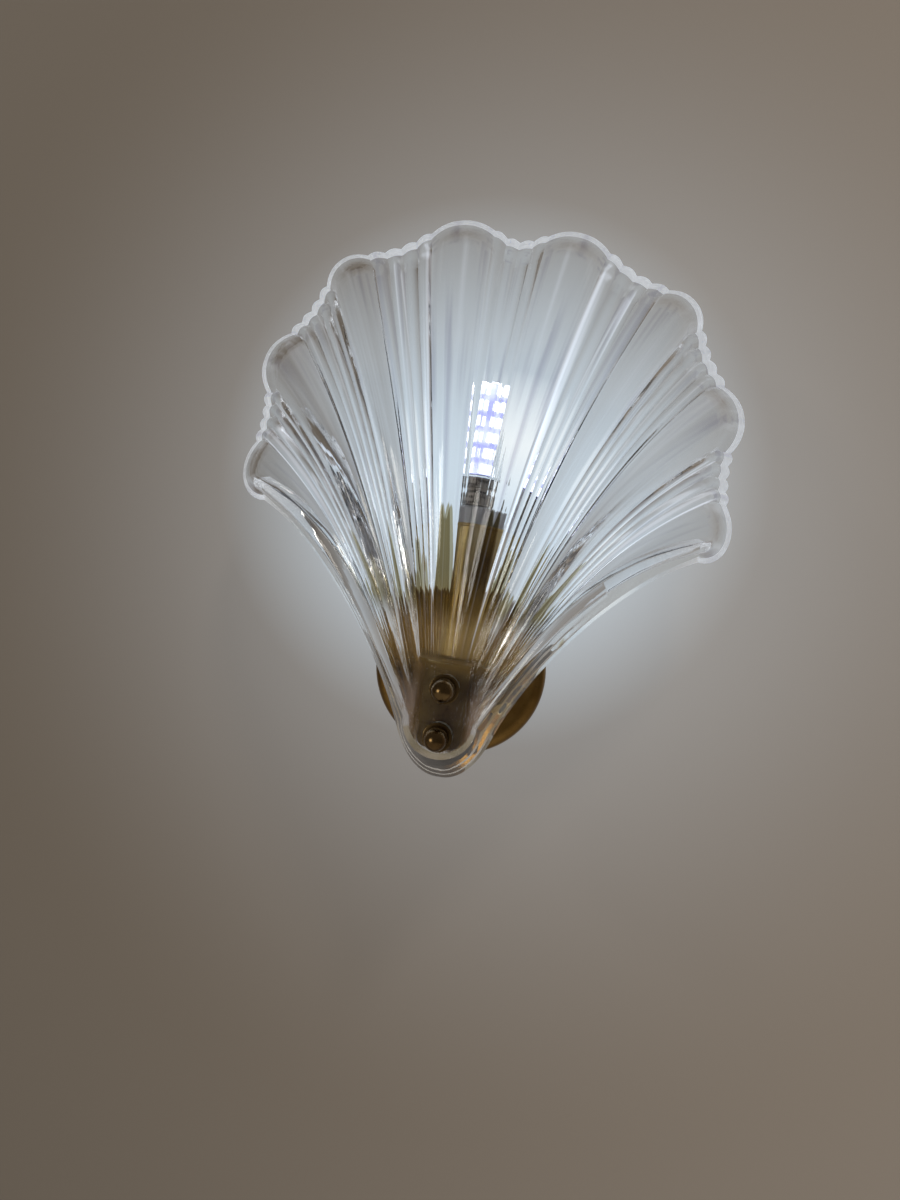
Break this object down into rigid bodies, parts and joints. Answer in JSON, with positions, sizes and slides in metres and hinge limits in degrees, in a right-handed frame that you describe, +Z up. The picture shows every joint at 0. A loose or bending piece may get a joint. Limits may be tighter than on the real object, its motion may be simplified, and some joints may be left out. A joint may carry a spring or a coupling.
{
  "type": "wall sconce",
  "caption": "Wall light with a fluted glass shell shade held by two ball nuts on a folded brass arm, over a tall lampholder with a capsule lamp and a round canopy.",
  "frame": {"origin": "centre of the canopy's open back, on the wall", "axes": "+Z up, -Y out of the wall into the room, +X to the right seen from the room"},
  "size_m": [0.2162, 0.0928, 0.2438],
  "materials": {
    "shade_glass": "clear pressed glass, polished",
    "brass": "aged satin brass",
    "brass_nut": "aged brass, polished ball",
    "steel": "zinc-plated",
    "ceramic": null,
    "terminal": "moulded",
    "lamp_collar": "moulded",
    "lamp_glass": "clear",
    "lamp_core": "lit",
    "pad": "translucent nylon"
  },
  "bodies": {
    "fixture": {"wall_crossbar": "steel", "canopy": "brass", "canopy_side_screws": "brass", "earth_screw": "steel", "terminal_block": "terminal", "terminal_screws": "steel", "arm_bracket": "brass", "arm_nipple": "steel", "arm_nipple_nuts": "brass", "lamp_nipple": "steel", "lamp_nipple_nuts": "brass", "holder_sleeve": "brass", "socket_body": "ceramic", "socket_contacts": "brass", "glass_shade": "shade_glass", "shade_screws": "steel", "back_pads": "pad", "front_pads": "pad"},
    "lamp": {"bulb_base": "lamp_collar", "bulb_pins": "steel", "bulb_envelope": "lamp_glass", "led_core": "lamp_core"},
    "upper_washer": {"upper_washer": "brass"},
    "lower_washer": {"lower_washer": "brass"},
    "upper_nut": {"upper_ball_nut": "brass_nut"},
    "lower_nut": {"lower_ball_nut": "brass_nut"}
  },
  "joints": [
    {"name": "lamp_pull", "type": "slide", "parent": "fixture", "child": "lamp", "axis": [0, 0, 1], "range_m": [0, 0.014]},
    {"name": "upper_nut_travel", "type": "slide", "parent": "fixture", "child": "upper_washer", "axis": [0, -1, 0], "range_m": [0, 0.0058]},
    {"name": "upper_nut_turn", "type": "hinge", "parent": "upper_washer", "child": "upper_nut", "pos_m": [0, -0.083, -0.0025], "axis": [0, -1, 0], "range_deg": [0, 3024]},
    {"name": "lower_nut_travel", "type": "slide", "parent": "fixture", "child": "lower_washer", "axis": [0, -1, 0], "range_m": [0, 0.0058]},
    {"name": "lower_nut_turn", "type": "hinge", "parent": "lower_washer", "child": "lower_nut", "pos_m": [0, -0.083, -0.0219], "axis": [0, -1, 0], "range_deg": [0, 3024]}
  ],
  "couplings": [
    {"joint": "upper_nut_turn", "follows": "upper_nut_travel", "rad_per_m": 8976},
    {"joint": "lower_nut_turn", "follows": "lower_nut_travel", "rad_per_m": 8976}
  ]
}
